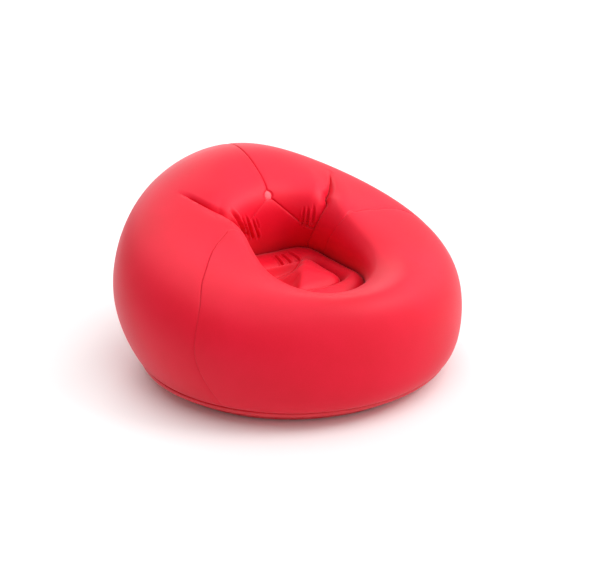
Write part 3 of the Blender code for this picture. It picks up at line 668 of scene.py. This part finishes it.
# ------------------------------------------------------------------ the skin
pieces = {}
for name, grids in (
    ("rear_left_panel", rear_panel(-1)),
    ("rear_right_panel", rear_panel(1)),
    ("front_panel", front()),
    ("lower_back_panel", lower_back()),
):
    pieces[name] = sheets("skin_" + name, grids, RED)


def open_valve(obj):
    """The round hole that the valve's socket goes through."""
    middle, out = Vector(VALVE), Vector(VALVE_OUT)

    def radial(p):
        return (p - middle) - out * (p - middle).dot(out)

    bm = bmesh.new()
    bm.from_mesh(obj.data)
    near = [f for f in bm.faces if (f.calc_center_median() - middle).length < 0.05]
    inside = [f for f in near if radial(f.calc_center_median()).length < VALVE_HOLE]
    bmesh.ops.delete(bm, geom=inside, context="FACES")
    for v in bm.verts:
        if v.is_boundary and (v.co - middle).length < 0.032:
            r = radial(v.co)
            v.co += r.normalized() * VALVE_HOLE - r
    bm.to_mesh(obj.data)
    bm.free()


open_valve(pieces["rear_left_panel"])


def seat_grid(rings, phi, steps, drop_first, drop_last, shape=None):
    knots = knots_of(rings, flat_ring)
    values = np.stack([flat_ring(r, phi) for r in rings])
    s, drop = flanged(steps, drop_first, drop_last)
    rows = np.stack([spline(values, knots, np.full(phi.shape, k * knots[-1])) for k in s])
    if shape:
        rows = shape(rows, phi, s)
    rows[..., 2] -= drop[:, None]
    return rows


PHI_SEAT = np.linspace(-math.pi, math.pi, 640, endpoint=False)
# wrinkles across the back limb of the bolster: line in x and y, depth, width
WRINKLES = (
    (((0.0225, 0.150), (0.0235, 0.1386), (0.0225, 0.078)), 0.0075, 0.0036),
    (((0.0450, 0.147), (0.0479, 0.1367), (0.0540, 0.084)), 0.0070, 0.0036),
    (((0.0690, 0.146), (0.0742, 0.1338), (0.0880, 0.084)), 0.0080, 0.0036),
)


def lift(p, how_far):
    """Moves a grid's points out along the grid's own normals."""
    n = np.cross(np.gradient(p, axis=0), np.roll(p, -1, 1) - np.roll(p, 1, 1))
    n /= np.linalg.norm(n, axis=-1, keepdims=True) + 1e-12
    return p + n * how_far[..., None]


def bolster_shape(rows, phi, s):
    # the corners stand up and the limbs between them sag a little
    swell = np.sin(np.pi * s)[:, None] * (-0.0050 * np.cos(4 * phi) + 0.0015 * np.cos(8 * phi))[None, :]
    rows[..., 2] += swell
    edge = np.minimum(s, 1 - s) * 0.15
    out = -0.0016 * np.exp(-((edge / 0.004) ** 2))[:, None] + 0 * rows[..., 0]
    for line, depth, width in WRINKLES:
        out = out + groove(rows[..., 0], rows[..., 1], np.array(line), depth, width, 0.12, 0.14)
    return lift(rows, out)


def pillow_shape(rows, phi, s):
    # gathered at its four corners, so it rises in four facets to the middle
    corner = np.abs(np.sin(2 * phi)) ** 6
    rows[..., 2] += (0.0045 * corner)[None, :] * np.sin(np.pi * np.clip(s * 1.15, 0, 1))[:, None]
    # a ridge from the rear right corner to the front, the left side falling from it
    (ax, ay), (bx, by) = PILLOW_RIDGE
    x, y = rows[..., 0], rows[..., 1]
    left = ((x - ax) * (by - ay) - (y - ay) * (bx - ax)) / math.hypot(bx - ax, by - ay)
    crest = 0.006 * np.exp(-((left / 0.050) ** 2)) * smooth(s, 0.10, 0.36)[:, None]
    left = 0.5 * (left + np.sqrt(left**2 + 0.010**2))
    low = 0.034 + 0.10 * left
    fall = 0.5 * (1.9 * left + low - np.sqrt((1.9 * left - low) ** 2 + 0.024**2))
    # the welded edge stands up beside the hollow
    edge_up = 0.007 * np.exp(-(((s - 0.19) / 0.085) ** 2))[:, None] * smooth(left, -0.02, 0.03)
    rows[..., 2] += crest + edge_up - fall * smooth(s, 0.20, 0.44)[:, None]
    edge = s * 0.12
    out = -0.0016 * np.exp(-((edge / 0.004) ** 2))[:, None] + 0 * rows[..., 0]
    return lift(rows, out)


pieces["seat_ring_panel"] = sheets(
    "skin_seat_ring_panel",
    [seat_grid(BOLSTER_LOOK, PHI_SEAT, graded(0.13, 0.0024, 0.0008, 0.0008), True, True, bolster_shape)],
    RED,
    closed=True,
)
pieces["seat_pillow_panel"] = sheets(
    "skin_seat_pillow_panel",
    [seat_grid(PILLOW_LOOK, PHI_SEAT, graded(0.13, 0.0026, 0.0008), True, False, pillow_shape)],
    RED,
    closed=True,
    tip=PILLOW_TOP,
)

# underside, turned up into the weld rim
PHI_BASE = np.linspace(-math.pi, math.pi, 720, endpoint=False)


BEAD = (
    (0.0055, 0.0420), (0.0095, 0.0420), (0.0124, 0.0440), (0.0138, 0.0468), (0.0142, 0.0498), (0.0136, 0.0528),
    (0.0122, 0.0552), (0.0098, 0.0562), (0.0068, 0.0550), (0.0030, 0.0515), (-0.0005, 0.0485),
)


def base_grid():
    table = np.array(BASE_RINGS)
    length = np.r_[0, np.cumsum(np.linalg.norm(np.diff(table[:, [0, 2]], axis=0), axis=1))]
    s = graded(length[-1], 0.0022, None, 0.0012) * length[-1]
    rows = []
    knots = length
    stack = np.repeat(table[:, None, :], len(s), 1)
    shaped = spline(stack, knots, s)
    for a, b, z in shaped:
        rows.append(body_ring(("", a, b, -0.032, -0.003, max(z, 0.0), max(z, 0.0), max(z, 0.0), 2.0, 2.0), PHI_BASE))
    # the rolled edge of the weld, a soft bead that lies against the skin
    for out, z in BEAD:
        z -= 0.003
        rows.append(body_ring(("", 0.4795 + out, 0.4555 + out, -0.032, -0.003, z, z, z, 2.0, 2.0), PHI_BASE))
    # the first ring is so small that its points are made one, which closes the middle
    inner = []
    for k in (1e-7, 0.02, 0.2, 0.4, 0.6, 0.8, 0.92, 0.97):
        inner.append(body_ring(("", 0.4175 * k, 0.3925 * k, -0.032, -0.003 * k, 0, 0, 0, 2.0, 2.0), PHI_BASE))
    return np.stack(inner + rows)


pieces["base_panel"] = sheets("skin_base_panel", [base_grid()], UNDER, closed=True)
# the welded tuft disc, a low soft dome in its own dimple
tuft = skin(ONE, ONE + t_of(BUTTON_RING))[0] + BUTTON_OUT * BUTTON_SUNK
level = Vector((0, 0, 1)).cross(Vector(BUTTON_OUT)).normalized()
up = Vector(BUTTON_OUT).cross(level)
turns = np.linspace(0, 2 * math.pi, 96, endpoint=False)
dome = []
for radius, height in (
    (0.0146, -0.0026), (0.0148, -0.0006), (0.0147, 0.0004), (0.0141, 0.0012), (0.0133, 0.0015), (0.0126, 0.0016),
    (0.0118, 0.0021), (0.0104, 0.0029), (0.0088, 0.0035), (0.0068, 0.0039), (0.0046, 0.0041), (0.0022, BUTTON_HIGH),
):
    uneven = 1 + 0.012 * np.cos(3 * turns + 0.6) + 0.008 * np.cos(5 * turns)
    flat_way = np.cos(turns)[:, None] * np.array(level) + np.sin(turns)[:, None] * np.array(up)
    dome.append(tuft + flat_way * (radius * uneven)[:, None] + BUTTON_OUT * height)
# the disc wears the painted sheen material, its pink base colour standing in for its highlight
pieces["button_disc"] = sheets("skin_button_disc", [np.stack(dome)], BUTTON_PAINTED_SHEEN_MAT, closed=True, tip=tuft + BUTTON_OUT * (BUTTON_HIGH + 0.0001))

for name, obj in pieces.items():
    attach(obj, BODY)
    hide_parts(name)

# ------------------------------------------------------------------ CAD nodes
for name, mat in (
    ("seat_perimeter_web", INNER),
    ("seat_groove_web", INNER),
    ("back_tie", INNER),
    ("tie_front_patch", INNER),
    ("tie_rear_patch", INNER),
    ("valve_patch", INNER),
    ("valve_flange", CLEAR),
    ("plug_tether", CLEAR),
    ("valve_plug", CLEAR),
    ("cap_tether", CLEAR),
    ("inflation_cap", CLEAR),
    ("plug_seal", RUBBER),
    ("check_flap", FILM),
):
    data = NODES[name].data
    data.materials.clear()
    data.materials.append(mat)

# ------------------------------------------------------------------ the room
ground = bpy.data.meshes.new("floor")
bm = bmesh.new()
bmesh.ops.create_grid(bm, x_segments=2, y_segments=2, size=90.0)
bm.to_mesh(ground)
bm.free()
floor_mat = bpy.data.materials.new("pale_floor")
tree, bsdf = nodes_of(floor_mat)
where = tree.nodes.new("ShaderNodeTexCoord").outputs["Object"]
link(tree, ramp(tree, noise(tree, where, 2.0), (0.3, (0.94, 0.94, 0.94)), (0.7, (0.965, 0.965, 0.965))), bsdf.inputs["Base Color"])
bsdf.inputs["Roughness"].default_value = 0.9
bsdf.inputs["Specular IOR Level"].default_value = 0.1
floor = make_object("floor", ground, floor_mat)

world = bpy.data.worlds.new("studio")
bpy.context.scene.world = world
world.use_nodes = True
world.node_tree.nodes["Background"].inputs["Color"].default_value = (1, 1, 1, 1)
world.node_tree.nodes["Background"].inputs["Strength"].default_value = 0.45


def sun(name, strength, angle, towards, colour=(1, 1, 1)):
    data = bpy.data.lights.new(name, "SUN")
    data.energy, data.angle, data.color = strength, math.radians(angle), colour
    obj = bpy.data.objects.new(name, data)
    bpy.context.scene.collection.objects.link(obj)
    obj.rotation_mode = "QUATERNION"
    obj.rotation_quaternion = Vector(towards).to_track_quat("-Z", "Y")
    obj.location = (0, 0, 3)
    return obj


def softbox(name, size, spread, energy, location, target):
    data = bpy.data.lights.new(name, "AREA")
    data.shape, data.size, data.energy, data.spread = "DISK", size, energy, math.radians(spread)
    obj = bpy.data.objects.new(name, data)
    bpy.context.scene.collection.objects.link(obj)
    obj.location = location
    obj.rotation_mode = "QUATERNION"
    obj.rotation_quaternion = (Vector(target) - Vector(location)).to_track_quat("-Z", "Y")


# a ring of broad soft sources, strongest overhead, on the right and behind
sun("top", 0.96, 60, (0.0, 0.02, -1.0))
sun("key", 0.90, 70, (-0.38, 0.56, -0.74))
sun("side", 0.66, 55, (-0.78, -0.05, -0.62))
sun("back", 0.38, 55, (0.0, -0.70, -0.70))
sun("rim", 0.72, 45, (-0.25, -0.90, -0.36))
# and one with a grid, into the well from the front right
softbox("well", 1.1, 60, 2.3, (0.62, -0.62, 1.10), (-0.09, 0.16, 0.36))

# ------------------------------------------------------------------ camera
TARGET = Vector((0.0, -0.023, 0.28))
AZ, EL, DIST = math.radians(-30.58), math.radians(20.54), 2.506
cam_data = bpy.data.cameras.new("camera")
cam = bpy.data.objects.new("camera", cam_data)
bpy.context.scene.collection.objects.link(cam)
back = Vector((math.sin(AZ) * math.cos(EL), -math.cos(AZ) * math.cos(EL), math.sin(EL)))
cam.location = TARGET + back * DIST
cam.rotation_mode = "QUATERNION"
cam.rotation_quaternion = (-back).to_track_quat("-Z", "Y")
cam_data.sensor_width = 36.0
cam_data.lens = 805.06 / 604 * 36
cam_data.shift_x = (302 - 294.0) / 604
cam_data.shift_y = -(280.5 - 268.84) / 604
cam_data.clip_start, cam_data.clip_end = 0.05, 300
bpy.context.scene.camera = cam
bpy.context.scene.view_settings.view_transform = "Standard"
bpy.context.scene.view_settings.look = "None"
